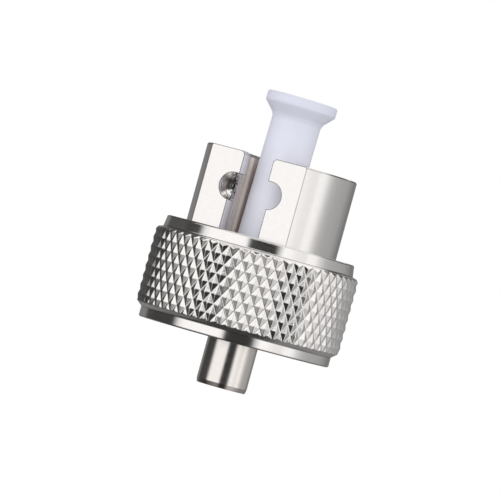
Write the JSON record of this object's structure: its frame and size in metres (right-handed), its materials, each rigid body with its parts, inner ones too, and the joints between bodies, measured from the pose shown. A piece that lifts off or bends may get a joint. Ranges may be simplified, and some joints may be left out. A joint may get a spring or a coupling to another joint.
{
  "type": "otdr fibre adapter",
  "caption": "Knurled-nut adapter that holds a small fibre plug in a slotted metal receptacle over a test instrument's optical port, with a dust cap.",
  "frame": {"origin": "on the adapter's axis, at the underside of the flange that sits on the instrument's port", "axes": "+Z along the axis towards the plug's mouth, -Y out through the latch slot and window"},
  "size_m": [0.018, 0.018, 0.0258],
  "materials": {
    "plated_body": "bright nickel plate, smooth flats",
    "plated_nut": "bright nickel plate with turned rims and a diamond knurl",
    "plated_tube": "bright nickel plate, fine turned",
    "spring_steel": "plain spring steel",
    "sleeve_ceramic": "ground white zirconia",
    "cap_plastic": "pale lavender white moulded plastic"
  },
  "bodies": {
    "adapter": {"adapter_body": "plated_body", "retaining_ring": "spring_steel", "ferrule_tube": "plated_tube", "rear_split_sleeve": "sleeve_ceramic", "sleeve_holder": "plated_tube", "front_split_sleeve": "sleeve_ceramic", "locating_pin": "spring_steel"},
    "nut": {"coupling_nut": "plated_nut"},
    "cap": {"dust_cap": "cap_plastic"}
  },
  "joints": [
    {"name": "nut_spin", "type": "hinge", "parent": "adapter", "child": "nut", "pos_m": [0, 0, 0], "axis": [0, 0, 1], "continuous": true},
    {"name": "cap_pull", "type": "slide", "parent": "adapter", "child": "cap", "axis": [0.0174, 0.008, 0.9998], "range_m": [0, 0.012]}
  ]
}
